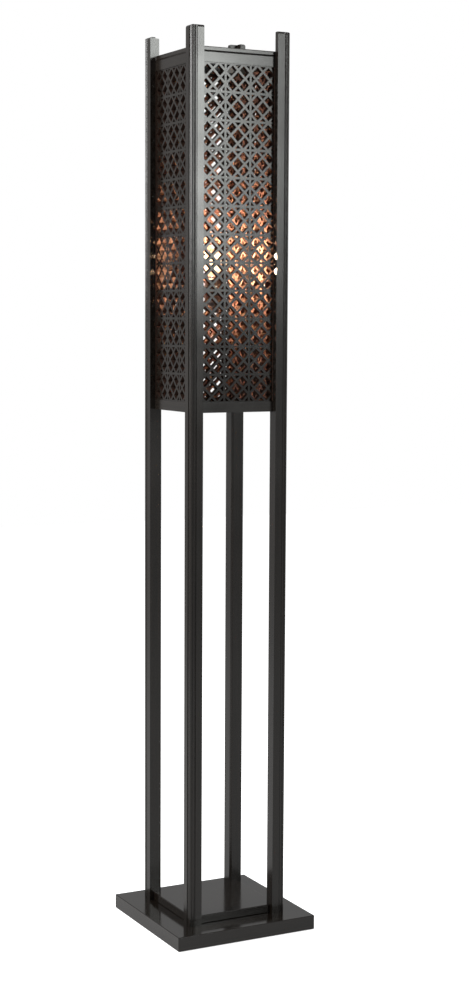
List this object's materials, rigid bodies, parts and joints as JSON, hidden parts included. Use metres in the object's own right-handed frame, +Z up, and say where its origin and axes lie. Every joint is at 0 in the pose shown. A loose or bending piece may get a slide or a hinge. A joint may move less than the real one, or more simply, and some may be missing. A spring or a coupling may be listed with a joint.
{
  "type": "lantern floor lamp",
  "caption": "Tall floor lamp in dark lacquered wood: posts on a square plinth carry a square lantern with pierced lattice sides and one screw-in bulb.",
  "frame": {"origin": "On the floor under the middle of the plinth, in the plane of the foot pads' undersides.", "axes": "+Z is up. The front side is -Y, the right side +X, the left side -X and the back +Y."},
  "size_m": [0.27, 0.27, 1.581],
  "materials": {
    "lacquered_wood": "dark espresso lacquer, semi-gloss",
    "lacquered_lattice": "dark espresso lacquer, satin",
    "plated_steel": "zinc plated",
    "rubber": "matte",
    "black_paint": "satin black",
    "black_moulding": "moulded, satin",
    "white_insulator": "glazed, glossy",
    "brass": "bright",
    "cap_metal": "bright rolled",
    "bulb_glass": "opal, warm white",
    "clear_glass": "clear"
  },
  "bodies": {
    "lamp": {"base_plinth": "lacquered_wood", "raised_plate": "lacquered_wood", "ballast_plate": "plated_steel", "foot_pads": "rubber", "post_screws": "plated_steel", "plate_screws": "plated_steel", "ballast_screws": "plated_steel", "post_front_left": "lacquered_wood", "post_front_right": "lacquered_wood", "post_back_right": "lacquered_wood", "post_back_left": "lacquered_wood", "lattice_front": "lacquered_lattice", "lattice_right": "lacquered_lattice", "lattice_back": "lacquered_lattice", "lattice_left": "lacquered_lattice", "bottom_rail_front": "lacquered_wood", "bottom_rail_right": "lacquered_wood", "bottom_rail_back": "lacquered_wood", "bottom_rail_left": "lacquered_wood", "top_rail_front": "lacquered_wood", "top_rail_right": "lacquered_wood", "top_rail_back": "lacquered_wood", "top_rail_left": "lacquered_wood", "capping_front": "lacquered_wood", "capping_right": "lacquered_wood", "capping_back": "lacquered_wood", "capping_left": "lacquered_wood", "rail_screws": "plated_steel", "corner_braces": "plated_steel", "brace_screws": "plated_steel", "lamp_bar": "black_paint", "bar_blocks": "lacquered_wood", "bar_screws": "plated_steel", "holder_cap": "black_moulding", "holder_skirt": "black_moulding", "shade_ring_lower": "black_moulding", "shade_ring_upper": "black_moulding", "holder_core": "white_insulator", "screw_shell": "brass", "centre_contact": "brass", "terminal_screws": "brass", "cord_gland": "black_moulding", "gland_nut": "plated_steel"},
    "bulb_end": {"bulb_insulator": "black_moulding", "bulb_tip": "cap_metal"},
    "bulb": {"bulb_glass": "bulb_glass", "bulb_cap": "cap_metal", "bulb_mount": "clear_glass", "bulb_leads": "cap_metal", "bulb_filament": "cap_metal"}
  },
  "joints": [
    {"name": "bulb_rise", "type": "slide", "parent": "lamp", "child": "bulb_end", "axis": [0, 0, 1], "range_m": [0, 0.0146]},
    {"name": "bulb_turn", "type": "hinge", "parent": "bulb_end", "child": "bulb", "pos_m": [0, 0, 1.138], "axis": [0, 0, 1], "range_deg": [0, 1440]}
  ],
  "couplings": [
    {"joint": "bulb_rise", "follows": "bulb_turn", "m_per_rad": 0.00057757}
  ]
}
